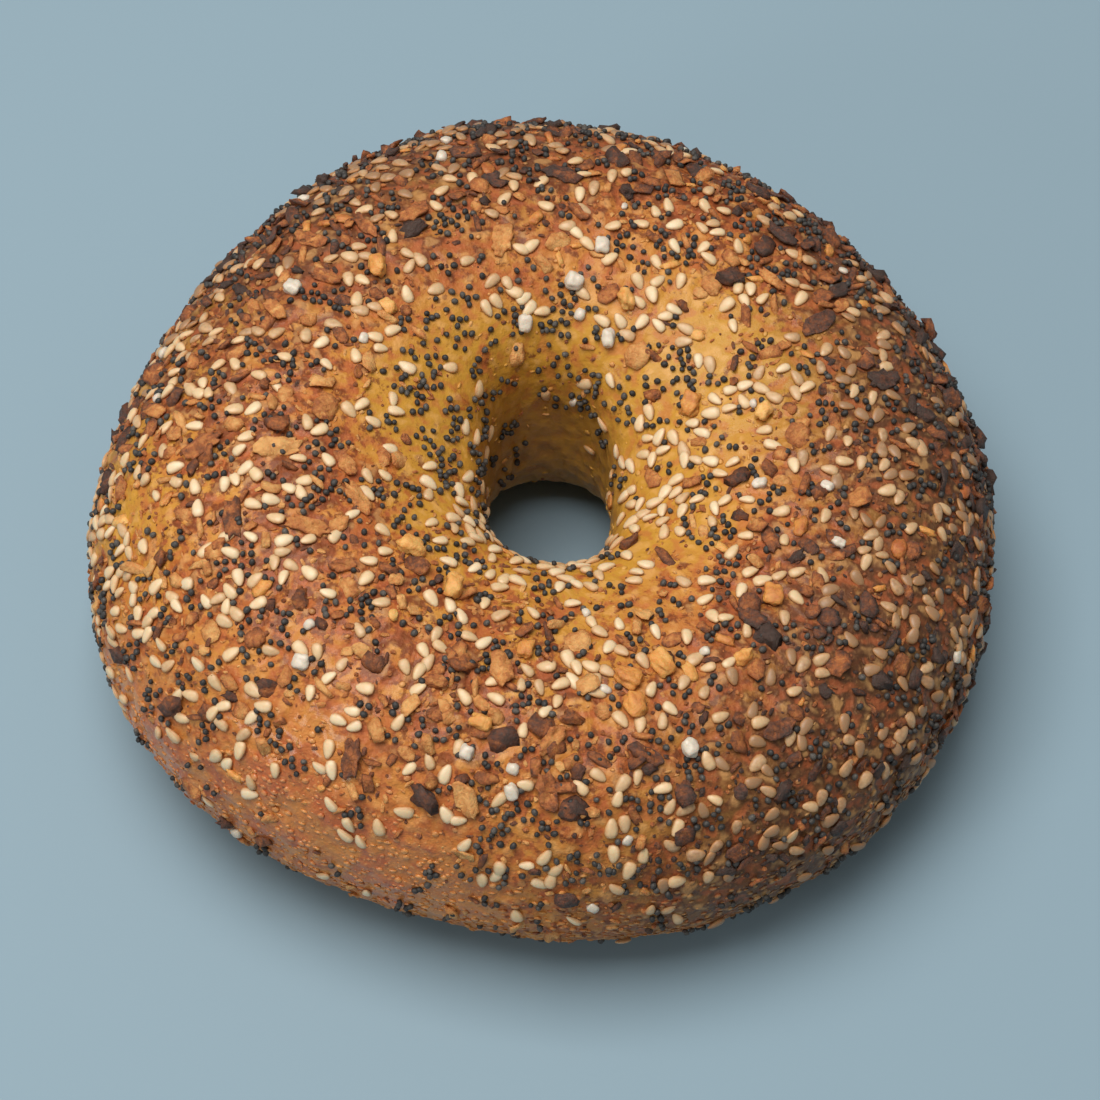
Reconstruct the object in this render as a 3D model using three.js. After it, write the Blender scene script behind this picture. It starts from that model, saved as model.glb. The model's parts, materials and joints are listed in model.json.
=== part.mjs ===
// A large everything bagel, resting on its flat base.
// Millimetres, +Z up. The origin is the centre of the base, on the surface it rests on.
// Turn is the angle around the ring from +X towards +Y. Wrap is the angle around the dough's
// own section: 0 at the outer waist, 90 at the crown, 180 in the hole and 270 at the base.

import * as THREE from 'three';
import { ConvexGeometry } from 'three/addons/geometries/ConvexGeometry.js';
import { ParametricGeometry } from 'three/addons/geometries/ParametricGeometry.js';
import { RoundedBoxGeometry } from 'three/addons/geometries/RoundedBoxGeometry.js';

const { degToRad, lerp, seededRandom } = THREE.MathUtils;

// ---- Driving dimensions: the dough ring ----

const OUTER_RADIUS = 61;
const FUNNEL_RADIUS = 4; // where the funnel's curve would reach if the hole didn't cut it off
const RING_HEIGHT = 44;
const OUTER_WAIST_HEIGHT = 20;
const HOLE_WAIST_HEIGHT = 22;
const CROWN_RADIUS = 36.5;
const BASE_RADIUS = 39.5;
const BASE_SINK = 2; // how far the rounded section would reach below its flat base

// The section is four quarter superellipses: an exponent of 2 is a plain ellipse.
const OUTER_ROUNDNESS = 2.1;
const HOLE_TOP_ROUNDNESS = 1.9;
const HOLE_BASE_ROUNDNESS = 2;

// The hole is a straight-walled oval, longer along Y. Its lip is crisp at the sides and soft at
// the ends.
const HOLE_HALF_WIDTH = 9;
const HOLE_HALF_LENGTH = 13;
const HOLE_SQUARENESS = 2.8;
const SIDE_LIP_SOFTNESS = 0.6;
const END_LIP_SOFTNESS = 4;

// Hand shaping: the outline's lobes, the taller side and the hole's small offset.
const LOBES = [
  { count: 2, swell: 0.009, turn: 30 },
  { count: 3, swell: 0.024, turn: 83 },
  { count: 4, swell: 0.013, turn: 22 },
];
const TALL_SIDE = { swell: 0.115, turn: 142 };
const HOLE_OFFSET = new THREE.Vector2(-0.3, 0.4);

const RING_SLICES = 64;
const SECTION_SLICES = 24;

// ---- Driving dimensions: the largest toppings ----

const TOPPING_GAP = 0.3; // clear space under each topping and around it
const ONION_THICKNESS = 0.55;
const ONION_LENGTH = [4.2, 7.2];
const GARLIC_LENGTH = [2.8, 4];
const SALT_LENGTH = [1.6, 2.1];

// Where the toppings lie thickest: the middle of each patch, its half widths, in degrees,
// and how many pieces it holds.
const ONION_PATCHES = [
  { turn: 205, wrap: 92, halfTurn: 20, halfWrap: 20, count: 7 },
  { turn: 145, wrap: 85, halfTurn: 18, halfWrap: 22, count: 4 },
  { turn: 100, wrap: 85, halfTurn: 22, halfWrap: 26, count: 5 },
  { turn: 35, wrap: 62, halfTurn: 26, halfWrap: 24, count: 6 },
  { turn: 255, wrap: 74, halfTurn: 20, halfWrap: 28, count: 5 },
  { turn: 310, wrap: 80, halfTurn: 30, halfWrap: 22, count: 4 },
];
const GARLIC_PATCHES = [
  { turn: 305, wrap: 75, halfTurn: 25, halfWrap: 25, count: 5 },
  { turn: 235, wrap: 90, halfTurn: 30, halfWrap: 25, count: 4 },
  { turn: 35, wrap: 112, halfTurn: 30, halfWrap: 18, count: 3 },
  { turn: 160, wrap: 95, halfTurn: 30, halfWrap: 20, count: 2 },
];
const SALT_PATCHES = [
  { turn: 85, wrap: 112, halfTurn: 25, halfWrap: 18, count: 4 },
  { turn: 270, wrap: 55, halfTurn: 22, halfWrap: 15, count: 3 },
  { turn: 190, wrap: 85, halfTurn: 40, halfWrap: 20, count: 2 },
  { turn: 345, wrap: 90, halfTurn: 30, halfWrap: 20, count: 3 },
];

// ---- Finishes ----

const CRUST_FINISH = { color: '#b5742f', roughness: 0.5, metalness: 0 };
const ONION_FINISH = { color: '#7a3d1c', roughness: 0.7, metalness: 0 };
const GARLIC_FINISH = { color: '#d1953f', roughness: 0.6, metalness: 0 };
const SALT_FINISH = { color: '#e8e6e2', roughness: 0.3, metalness: 0 };

// ---- The crust's surface ----

function signedPower(value, power) {
  return Math.sign(value) * Math.abs(value) ** power;
}

function outlineSwell(turn) {
  const lobes = LOBES.map((lobe) => lobe.swell * Math.cos(lobe.count * (turn - degToRad(lobe.turn))));
  return lobes.reduce((total, lobe) => total + lobe, 0);
}

// Keeps a radius outside the hole's wall, and rounds the lip where the two meet.
function outsideHole(radius, turn) {
  const widthPart = Math.abs(Math.cos(turn) / HOLE_HALF_WIDTH) ** HOLE_SQUARENESS;
  const lengthPart = Math.abs(Math.sin(turn) / HOLE_HALF_LENGTH) ** HOLE_SQUARENESS;
  const wall = (widthPart + lengthPart) ** (-1 / HOLE_SQUARENESS);
  const softness = lerp(SIDE_LIP_SOFTNESS, END_LIP_SOFTNESS, Math.sin(turn) ** 2);
  return wall + softness * Math.log1p(Math.exp((radius - wall) / softness));
}

// The dough's section at a turn: distance from the ring's axis, and height.
function sectionPoint(turn, wrap) {
  const across = Math.cos(wrap);
  const upward = Math.sin(wrap);
  const outside = across >= 0;
  const above = upward >= 0;
  const holeRoundness = above ? HOLE_TOP_ROUNDNESS : HOLE_BASE_ROUNDNESS;
  const power = 2 / (outside ? OUTER_ROUNDNESS : holeRoundness);
  const middleRadius = above ? CROWN_RADIUS : BASE_RADIUS;
  const waistHeight = outside ? OUTER_WAIST_HEIGHT : HOLE_WAIST_HEIGHT;
  const reach = outside ? OUTER_RADIUS - middleRadius : middleRadius - FUNNEL_RADIUS;
  const rise = above ? RING_HEIGHT - waistHeight : waistHeight + BASE_SINK;
  const radius = outsideHole(middleRadius + reach * signedPower(across, power), turn);
  const height = Math.max(0, waistHeight + rise * signedPower(upward, power));
  return { radius, height };
}

function crustPoint(turn, wrap) {
  const { radius, height } = sectionPoint(turn, wrap);
  const outwardShare = (radius - HOLE_HALF_WIDTH) / (OUTER_RADIUS - HOLE_HALF_WIDTH);
  const swollenRadius = radius * (1 + outlineSwell(turn) * outwardShare);
  const tallness = 1 + TALL_SIDE.swell * Math.cos(turn - degToRad(TALL_SIDE.turn));
  return new THREE.Vector3(
    swollenRadius * Math.cos(turn) + HOLE_OFFSET.x * (1 - outwardShare),
    swollenRadius * Math.sin(turn) + HOLE_OFFSET.y * (1 - outwardShare),
    height * tallness,
  );
}

// The crust's own directions at a place: along the ring, up the section, and straight out.
function crustFrame(turn, wrap) {
  const step = 1e-3;
  const along = crustPoint(turn + step, wrap).sub(crustPoint(turn - step, wrap)).divideScalar(2 * step);
  const upward = crustPoint(turn, wrap + step).sub(crustPoint(turn, wrap - step)).divideScalar(2 * step);
  const out = new THREE.Vector3().crossVectors(along, upward).normalize();
  return { along, upward, out };
}

function doughRing() {
  const fullTurn = 2 * Math.PI;
  const surface = (u, v, target) => target.copy(crustPoint((u % 1) * fullTurn, (v % 1) * fullTurn));
  return new ParametricGeometry(surface, RING_SLICES, SECTION_SLICES);
}

// ---- Toppings, each made lying flat on z = 0 with its length along X ----

function randomStream(firstSeed) {
  let seed = firstSeed;
  return (low, high) => {
    seed += 1;
    return lerp(low, high, seededRandom(seed));
  };
}

// A thin bent chip: an uneven outline, its ends curled up.
function onionFlake(random) {
  const cornerCount = 9;
  const length = random(...ONION_LENGTH);
  const width = length * random(0.32, 0.62);
  const curl = random(0.2, 0.7);
  const corners = Array.from({ length: cornerCount }, (_, corner) => {
    const angle = ((corner + random(-0.3, 0.3)) / cornerCount) * 2 * Math.PI;
    const reach = random(0.78, 1.08) / 2;
    return new THREE.Vector2(length * reach * Math.cos(angle), width * reach * Math.sin(angle));
  });
  const outline = new THREE.Shape(corners);
  const flake = new THREE.ExtrudeGeometry(outline, { depth: ONION_THICKNESS, bevelEnabled: false });
  const points = flake.attributes.position;
  for (let i = 0; i < points.count; i += 1) {
    const endShare = points.getX(i) / (length / 2);
    points.setZ(i, points.getZ(i) + curl * endShare * endShare);
  }
  return flake;
}

// A chunk with rounded corners and a flat underside.
function garlicBit(random) {
  const length = random(...GARLIC_LENGTH);
  const width = length * random(0.6, 0.8);
  const thickness = length * random(0.38, 0.5);
  const layers = [
    { height: 0, reach: 0.8 },
    { height: 0.45, reach: 1 },
    { height: 1, reach: 0.6 },
  ];
  const cornersPerLayer = 6;
  const points = [];
  for (const [index, layer] of layers.entries()) {
    for (let corner = 0; corner < cornersPerLayer; corner += 1) {
      const angle = ((corner + index / 2) / cornersPerLayer) * 2 * Math.PI;
      const reach = (layer.reach * random(0.85, 1.05)) / 2;
      points.push(
        new THREE.Vector3(
          length * reach * Math.cos(angle),
          width * reach * Math.sin(angle),
          thickness * layer.height,
        ),
      );
    }
  }
  return new ConvexGeometry(points);
}

function saltCrystal(random) {
  const length = random(...SALT_LENGTH);
  const width = length * random(0.75, 0.95);
  const thickness = length * random(0.6, 0.8);
  const edgeRounding = 0.25;
  const roundingSteps = 1;
  const crystal = new RoundedBoxGeometry(length, width, thickness, roundingSteps, edgeRounding);
  return crystal.translate(0, 0, thickness / 2);
}

// ---- Laying the toppings on the crust ----

// Bends a flat-lying topping over the crust at a place, and stands it clear of the crust.
function layOnCrust(geometry, material, turn, wrap, spin) {
  const home = crustPoint(turn, wrap);
  const { along, upward, out } = crustFrame(turn, wrap);
  const sideways = along.clone().normalize();
  const basis = new THREE.Matrix4().makeBasis(sideways, out.clone().cross(sideways), out);
  const mesh = new THREE.Mesh(geometry, material);
  mesh.position.copy(home);
  mesh.quaternion.setFromRotationMatrix(basis);
  mesh.updateMatrix();
  const toLocal = mesh.matrix.clone().invert();

  const points = geometry.attributes.position;
  for (let i = 0; i < points.count; i += 1) {
    const flat = new THREE.Vector3().fromBufferAttribute(points, i);
    const height = flat.z;
    flat.setZ(0).applyAxisAngle(new THREE.Vector3(0, 0, 1), spin);
    const placeTurn = turn + flat.x / along.length();
    const placeWrap = wrap + flat.y / upward.length();
    const lift = crustFrame(placeTurn, placeWrap).out.multiplyScalar(TOPPING_GAP + height);
    const bent = crustPoint(placeTurn, placeWrap).add(lift).applyMatrix4(toLocal);
    points.setXYZ(i, bent.x, bent.y, bent.z);
  }
  geometry.computeVertexNormals();
  geometry.computeBoundingSphere();
  return mesh;
}

// Tries random places in the patch until the piece is clear of those already laid.
function layInPatch(geometry, material, patch, random, laid) {
  geometry.computeBoundingSphere();
  const reach = geometry.boundingSphere.radius;
  const isClear = (place) =>
    laid.every((other) => place.distanceTo(other.home) > reach + other.reach + TOPPING_GAP);
  let turn;
  let wrap;
  let home;
  do {
    turn = degToRad(patch.turn + random(-patch.halfTurn, patch.halfTurn));
    wrap = degToRad(patch.wrap + random(-patch.halfWrap, patch.halfWrap));
    home = crustPoint(turn, wrap);
  } while (!isClear(home));
  laid.push({ home, reach });
  return layOnCrust(geometry, material, turn, wrap, random(0, Math.PI));
}

// ---- The bagel ----

const bagel = new THREE.Group();

const ring = new THREE.Mesh(doughRing(), new THREE.MeshStandardMaterial(CRUST_FINISH));
ring.name = 'dough_ring';
bagel.add(ring);

const toppings = [
  { name: 'onion_flake', make: onionFlake, finish: ONION_FINISH, patches: ONION_PATCHES, firstSeed: 1000 },
  { name: 'garlic_bit', make: garlicBit, finish: GARLIC_FINISH, patches: GARLIC_PATCHES, firstSeed: 3000 },
  { name: 'salt_crystal', make: saltCrystal, finish: SALT_FINISH, patches: SALT_PATCHES, firstSeed: 5000 },
];
const laid = [];
for (const topping of toppings) {
  const random = randomStream(topping.firstSeed);
  let number = 0;
  for (const patch of topping.patches) {
    for (let piece = 0; piece < patch.count; piece += 1) {
      number += 1;
      const material = new THREE.MeshStandardMaterial(topping.finish);
      const mesh = layInPatch(topping.make(random), material, patch, random, laid);
      mesh.name = `${topping.name}_${String(number).padStart(2, '0')}`;
      bagel.add(mesh);
    }
  }
}

// The lobes push the ring a little off its axis: the origin is put back under its middle.
const middle = new THREE.Box3().setFromObject(bagel, true).getCenter(new THREE.Vector3());
bagel.position.set(-middle.x, -middle.y, 0);

export default bagel;
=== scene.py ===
"""The looks of an everything bagel: a baked crust and its toppings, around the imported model.

Laid out as an add-on, with one operator for each piece, and run as a script. Metres, +Z up.
"""

import json
import math
import random
from contextlib import contextmanager
from functools import partial, reduce

import bmesh
import bpy
import numpy
from mathutils import Matrix, Vector, noise

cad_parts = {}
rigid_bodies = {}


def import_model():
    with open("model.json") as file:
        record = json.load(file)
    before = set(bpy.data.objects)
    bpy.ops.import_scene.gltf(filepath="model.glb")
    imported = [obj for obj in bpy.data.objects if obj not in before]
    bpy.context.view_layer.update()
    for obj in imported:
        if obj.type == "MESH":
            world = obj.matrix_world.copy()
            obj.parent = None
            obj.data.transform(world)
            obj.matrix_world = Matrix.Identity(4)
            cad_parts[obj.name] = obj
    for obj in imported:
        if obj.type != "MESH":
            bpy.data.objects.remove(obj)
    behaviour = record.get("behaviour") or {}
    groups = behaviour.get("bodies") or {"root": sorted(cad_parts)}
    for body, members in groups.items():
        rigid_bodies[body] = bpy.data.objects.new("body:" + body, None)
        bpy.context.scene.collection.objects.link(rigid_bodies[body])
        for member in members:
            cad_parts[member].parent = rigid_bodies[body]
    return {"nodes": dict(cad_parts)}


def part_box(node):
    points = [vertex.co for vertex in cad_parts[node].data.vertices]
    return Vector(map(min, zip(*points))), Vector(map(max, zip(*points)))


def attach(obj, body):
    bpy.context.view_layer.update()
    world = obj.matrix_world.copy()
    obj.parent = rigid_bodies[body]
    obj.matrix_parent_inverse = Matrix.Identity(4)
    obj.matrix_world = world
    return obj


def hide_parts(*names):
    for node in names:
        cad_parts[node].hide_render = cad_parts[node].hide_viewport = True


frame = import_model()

bl_info = {
    "name": "Everything Bagel",
    "version": (1, 0, 0),
    "blender": (4, 5, 0),
    "location": "3D View > Sidebar > Bagel",
    "description": "Bakes the crust of an everything bagel and lays its toppings",
    "category": "Object",
}

MM = 0.001
BODY = "root"

RING_LOW, RING_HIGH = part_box("dough_ring")
RING_SIZE = RING_HIGH - RING_LOW
RING_MIDDLE = (RING_LOW + RING_HIGH) / 2


def nodes_named(start):
    """The names of the frame's pieces that begin with a word, in order."""
    return sorted(name for name in frame["nodes"] if name.startswith(start))


# ---- Node graphs ----


class Field:
    """A value that changes over a surface. Sums and products of it add Math nodes."""

    def __init__(self, graph, socket):
        self.graph = graph
        self.socket = socket

    def maths(self, operation, *operands):
        inputs = dict(enumerate(operands))
        return self.graph.node("ShaderNodeMath", {"operation": operation}, inputs)

    def __add__(self, other):
        return self.maths("ADD", self, other)

    def __radd__(self, other):
        return self.maths("ADD", other, self)

    def __sub__(self, other):
        return self.maths("SUBTRACT", self, other)

    def __rsub__(self, other):
        return self.maths("SUBTRACT", other, self)

    def __mul__(self, other):
        return self.maths("MULTIPLY", self, other)

    def __rmul__(self, other):
        return self.maths("MULTIPLY", other, self)

    def __truediv__(self, other):
        return self.maths("DIVIDE", self, other)

    def __rtruediv__(self, other):
        return self.maths("DIVIDE", other, self)

    def __pow__(self, other):
        return self.maths("POWER", self, other)

    def step(self, low, high):
        """Rises smoothly from 0 at low to 1 at high, or falls where low is the larger."""
        settings = {"interpolation_type": "SMOOTHSTEP"}
        rising = low < high
        ends = (low, high) if rising else (high, low)
        inputs = {"Value": self, "From Min": ends[0], "From Max": ends[1]}
        risen = self.graph.node("ShaderNodeMapRange", settings, inputs)
        return risen if rising else 1 - risen

    def least(self, other):
        return self.maths("MINIMUM", self, other)

    def most(self, other):
        return self.maths("MAXIMUM", self, other)

    def beside(self, name):
        """Another output of the same node."""
        return Field(self.graph, self.socket.node.outputs[name])


def feed(socket, value):
    """Gives an input its value: a field is linked to it, and a constant is set on it."""
    if isinstance(value, Field):
        value.graph.tree.links.new(value.socket, socket)
    else:
        socket.default_value = value


class Graph:
    """A shader or geometry node tree, and the one method that adds a node to it."""

    def __init__(self, tree):
        self.tree = tree

    def node(self, kind, settings=None, inputs=None, output=0):
        """Adds a node: its settings first, then its inputs' values or links. Gives one output."""
        node = self.tree.nodes.new(kind)
        for name, value in (settings or {}).items():
            if name == "stops":
                set_stops(node.color_ramp, value)
            else:
                setattr(node, name, value)
        for key, value in (inputs or {}).items():
            feed(open_socket(node.inputs, key), value)
        return Field(self, open_socket(node.outputs, output))

    def colour_mix(self, share, first, second):
        """Goes from the first colour to the second as share goes from 0 to 1."""
        inputs = {"Factor": share, "A": first, "B": second}
        return self.node("ShaderNodeMix", {"data_type": "RGBA"}, inputs, "Result")

    def noise(self, place, size, detail=2.0, roughness=0.5, stretch=0.0):
        """Soft noise from 0 to 1 whose lumps are about the given size, in metres."""
        inputs = {"Vector": place, "Scale": 1 / size, "Detail": detail, "Roughness": roughness}
        return self.node("ShaderNodeTexNoise", {}, {**inputs, "Distortion": stretch})

    def vector(self, x=0.0, y=0.0, z=0.0):
        """A vector from its parts."""
        return self.node("ShaderNodeCombineXYZ", {}, {"X": x, "Y": y, "Z": z})

    def kept(self, name, kind="FLOAT"):
        """What is kept on the crust or its points under a name."""
        settings = {"data_type": kind}
        return self.node("GeometryNodeInputNamedAttribute", settings, {"Name": name}, "Attribute")


def open_socket(sockets, key):
    """A socket by its number, or the one in use by its name: a node may keep one for each kind."""
    if isinstance(key, int):
        return sockets[key]
    return next(socket for socket in sockets if socket.name == key and socket.enabled)


def set_stops(ramp, stops):
    """Gives a colour ramp its stops: pairs of a position and a colour."""
    while len(ramp.elements) < len(stops):
        ramp.elements.new(1)
    for element, (position, tint) in zip(ramp.elements, stops):
        element.position = position
        element.color = tint


def colour(red, green, blue):
    """A colour as seen on a screen, from 0 to 255, as the renderer's own RGBA."""
    shares = [part / 255 for part in (red, green, blue)]
    linear = [part / 12.92 if part <= 0.04045 else ((part + 0.055) / 1.055) ** 2.4 for part in shares]
    return (*linear, 1.0)


def split(vector):
    """The three parts of a vector."""
    parts = vector.graph.node("ShaderNodeSeparateXYZ", {}, {"Vector": vector})
    return [parts.beside(axis) for axis in "XYZ"]


def ring_radius(x, y):
    """How far a place is from the ring's axis."""
    return (x * x + y * y) ** 0.5


def strongest(shares):
    """The greatest of several fields at each place."""
    return reduce(Field.most, shares)


# ---- Materials ----


def new_material(name):
    """A material with one Principled shader, and its graph."""
    material = bpy.data.materials.new(name)
    material.use_nodes = True
    return material, Graph(material.node_tree)


def finish(material, **values):
    """Gives the material's shader its fields and constants, by the names of its sockets."""
    shader = next(node for node in material.node_tree.nodes if node.type == "BSDF_PRINCIPLED")
    for name, value in values.items():
        feed(shader.inputs[name.replace("_", " ")], value)
    return material


def bump(height, distance, strength=1.0):
    """A normal that shows height, a field from 0 to 1, as relief of the given depth in metres."""
    inputs = {"Height": height, "Distance": distance, "Strength": strength}
    return height.graph.node("ShaderNodeBump", {}, inputs)


def object_place(graph):
    """Where a point is on the object, in metres."""
    return graph.node("ShaderNodeTexCoord", output="Object")


def attribute(graph, name):
    """A number stored on each piece, such as how dark it is toasted."""
    return graph.node("ShaderNodeAttribute", {"attribute_name": name}, {}, "Fac")


def toned(shade, *tones):
    """A colour for a shade from 0 to 1. Tones: a shade and its red, green and blue."""
    stops = [(position, colour(*tint)) for position, *tint in tones]
    held = shade.least(1.0).most(0.0)
    return shade.graph.node("ShaderNodeValToRGB", {"stops": stops}, {"Fac": held})


def ring_spot(turn, radius_share, height_share):
    """A place on the ring: its turn in degrees, and shares of its half width and height."""
    angle = math.radians(turn)
    reach = RING_SIZE.x / 2 * radius_share
    height = RING_SIZE.z * height_share
    return RING_MIDDLE.x + reach * math.cos(angle), RING_MIDDLE.y + reach * math.sin(angle), height


def nearness(place, spots, reach):
    """1 close to any of the spots on the ring, falling to 0 at reach from it."""
    close = reach * 0.2

    def share(spot):
        inputs = {0: place, 1: ring_spot(*spot)}
        settings = {"operation": "DISTANCE"}
        distance = place.graph.node("ShaderNodeVectorMath", settings, inputs, "Value")
        return distance.step(reach, close)

    return strongest(share(spot) for spot in spots)


# The size of the crust's small hollows and crests, the same in its shape and its colour.
POCK_SIZE = 1.9 * MM

# The sides the oven browns most, also darkened with painted shade where the light falls off: a
# direction across the ring, where the darkening begins and where it is full, and how strong it is there.
BAKED_AND_SHADED_SIDES = (
    ((0.995, 0.1), 23 * MM, 52 * MM, 1.0),
    ((-0.5, 0.87), 16 * MM, 50 * MM, 0.95),
    ((0.84, -0.54), 28 * MM, 54 * MM, 1.0),
)

# Places on the ring: turn, share of its half width, share of its height. The oven and the
# toppings darken the first; the next stay yellow; the last is flushed, glossy and blistered.
TOASTED_SPOTS = (
    (205, 0.62, 0.95),
    (178, 0.66, 0.98),
    (138, 0.74, 0.95),
    (115, 0.9, 0.75),
    (92, 0.78, 0.95),
    (60, 0.84, 0.85),
    (40, 0.86, 0.8),
    (5, 0.9, 0.6),
    (258, 0.6, 0.9),
    (325, 0.72, 0.85),
)
YELLOW_SPOTS = (
    (165, 0.95, 0.62),
    (182, 0.97, 0.5),
    (170, 0.86, 0.78),
    (187, 0.85, 0.78),
    (22, 0.42, 0.85),
    (268, 0.48, 0.97),
)
FLUSHED_SPOTS = ((235, 0.86, 0.55), (215, 0.95, 0.4), (252, 0.88, 0.45))

# Where sesame lies heaped: around the near lip and the right wall of the hole, then on the
# right, far right and left crown.
HEAPED_SPOTS = (
    (240, 0.28, 0.76),
    (252, 0.29, 0.73),
    (264, 0.3, 0.72),
    (276, 0.3, 0.71),
    (288, 0.3, 0.69),
    (300, 0.28, 0.67),
    (330, 0.27, 0.66),
    (0, 0.27, 0.68),
    (12, 0.42, 0.79),
    (52, 0.4, 0.85),
    (188, 0.9, 0.7),
)


def baked_and_shaded(place):
    """1 where the far and right sides are browned most and carry painted shade, 0 on the near left."""
    x, y, _ = split(place)
    return strongest(
        (x * along + y * across).step(begins, full) * strength
        for (along, across), begins, full, strength in BAKED_AND_SHADED_SIDES
    )


def crust_material(settings):
    """Boiled and baked dough skin: gold in the funnel, toasted on the crown, finely blistered."""
    material, graph = new_material("baked_crust")
    place = object_place(graph)
    x, y, z = split(place)
    radius = ring_radius(x, y)
    baked_and_shaded_side = baked_and_shaded(place)
    broad = graph.noise(place, 15 * MM, detail=3)
    patches = graph.noise(place, 5 * MM, detail=4, roughness=0.6)
    mottle = graph.noise(place, 1.6 * MM, detail=4, roughness=0.65)
    grain = graph.noise(place, 0.5 * MM)
    pocks = graph.noise(place, POCK_SIZE, detail=1)

    # Gold to brown over the whole skin, in soft patches with a mottled edge.
    browned = (broad * 0.5 + patches * 0.75 + mottle * 0.4).step(0.62, 1.0)
    base = graph.colour_mix(browned, settings.golden, settings.toasted)
    toasted = nearness(place, TOASTED_SPOTS, 26 * MM)
    funnel = radius + y.most(0.0) * 0.35 + (broad - 0.5) * (14 * MM)
    funnel = funnel.step(32 * MM, 21 * MM)
    yellow = nearness(place, YELLOW_SPOTS, 24 * MM).most(funnel) * (1 - toasted * 0.35)
    base = graph.colour_mix(yellow * 0.93, base, settings.funnel_gold)

    # Caramel blotches a few millimetres across, with scorched middles where the oven bites, a little more
    # of both on the far and right sides with their painted shade.
    blotch = graph.noise(place, 3.4 * MM, detail=5, roughness=0.62, stretch=0.3)
    caramel = (blotch + toasted * 0.09 + baked_and_shaded_side * 0.05 - yellow * 0.1).step(0.48, 0.59)
    base = graph.colour_mix(caramel * 0.8, base, settings.caramel)
    scorch = graph.noise(place, 1.7 * MM, detail=5, roughness=0.66)
    scorched = scorch + toasted * 0.12 + baked_and_shaded_side * 0.06 - yellow * 0.05 + broad * 0.14
    base = graph.colour_mix(scorched.step(0.6, 0.7) * 0.85, base, settings.scorched)
    # The far and right sides: browner skin, and painted shade where the light falls off.
    base = graph.colour_mix(baked_and_shaded_side * 0.86, base, settings.baked_and_shaded)

    # Redder in the small hollows and pale on the crests, in step with the relief: partly the glaze's own
    # colour, partly painted shade in the hollows and a painted highlight on the crests.
    base = graph.colour_mix(pocks.step(0.5, 0.34) * 0.5, base, settings.rosy)
    base = graph.colour_mix(pocks.step(0.54, 0.7) * 0.35, base, settings.blister)

    # Deep in the hole the skin is drab. Low on the wall it is plain tan.
    deep = radius.step(20 * MM, 11 * MM) * z.step(38 * MM, 24 * MM)
    base = graph.colour_mix(deep * 0.7, base, settings.hole_brown)
    low_wall = z.step(16 * MM, 4 * MM) * radius.step(38 * MM, 48 * MM)
    base = graph.colour_mix(low_wall * 0.7, base, settings.low_wall)

    # The glossy patch, redder in places.
    flushed = nearness(place, FLUSHED_SPOTS, 22 * MM) * (1 - low_wall * 0.5)
    rosy = graph.colour_mix(patches.step(0.45, 0.6), settings.flushed, settings.rosy)
    base = graph.colour_mix(flushed * 0.75, base, rosy)

    # The pale tops of the blisters and pale specks on the glossy skin: partly the blisters' own paler
    # skin, partly painted highlight.
    specks = grain.step(0.55, 0.75) * flushed.most(low_wall * 0.5).most(0.3)
    dome = attribute(graph, "dome")
    pale = (specks * 0.5).most(dome.step(0.3, 1.0) * 0.35)
    relief = (mottle * 0.48 + grain * 0.25) * (1 - funnel * 0.5) + blotch * 0.6
    return finish(
        material,
        Base_Color=graph.colour_mix(pale, base, settings.blister),
        Roughness=0.47 - flushed * 0.1 - dome * 0.14 + mottle * 0.12,
        Specular_IOR_Level=0.35,
        Specular_Tint=colour(255, 232, 204),
        Coat_Weight=0.16 + flushed * 0.55 + low_wall * 0.05,
        Coat_Roughness=0.13,
        Coat_IOR=1.4,
        Normal=bump(relief, 0.55 * MM),
    )


def sesame_material():
    """Hulled sesame: cream to gold, with a satin skin and a browner edge and tip, partly toasting and
    partly painted shade where the seed curves away; darker on the far and right sides as painted shade.
    """
    material, graph = new_material("sesame_seed")
    place = object_place(graph)
    streaks = graph.noise(place, 0.6 * MM)
    # Darker on the far and right sides: painted shade, where the light falls off.
    shade = attribute(graph, "tone") * 0.7 + (streaks - 0.5) * 0.45 + baked_and_shaded(place) * 0.66
    cream, straw, tan, brown = (233, 209, 171), (223, 190, 145), (202, 164, 122), (160, 122, 88)
    base = toned(shade, (0.0, *cream), (0.45, *straw), (0.75, *tan), (1.0, *brown))
    # The browner edge and tip: partly toasting, partly painted shade where the seed curves away from the
    # light.
    rim = attribute(graph, "rim").step(0.45, 1.0)
    return finish(
        material,
        Base_Color=graph.colour_mix(rim * 0.7, base, colour(186, 128, 72)),
        Roughness=0.34 + streaks * 0.18,
        Normal=bump(streaks, 0.06 * MM, 0.6),
        Subsurface_Weight=0.12,
        Subsurface_Scale=0.6 * MM,
    )


def poppy_material():
    """Poppy seeds: black to warm grey, with a fine honeycomb skin."""
    material, graph = new_material("poppy_seed")
    black, slate, grey = (50, 46, 43), (70, 66, 62), (102, 95, 87)
    base = toned(attribute(graph, "tone"), (0.0, *black), (0.6, *slate), (1.0, *grey))
    inputs = {"Vector": object_place(graph), "Scale": 1 / (0.2 * MM)}
    pits = graph.node("ShaderNodeTexVoronoi", {}, inputs, "Distance")
    base = graph.colour_mix(pits.step(0.2, 0.6) * 0.4, base, colour(22, 22, 25))
    return finish(material, Base_Color=base, Roughness=0.58, Normal=bump(pits, 0.05 * MM, 0.7))


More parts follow.
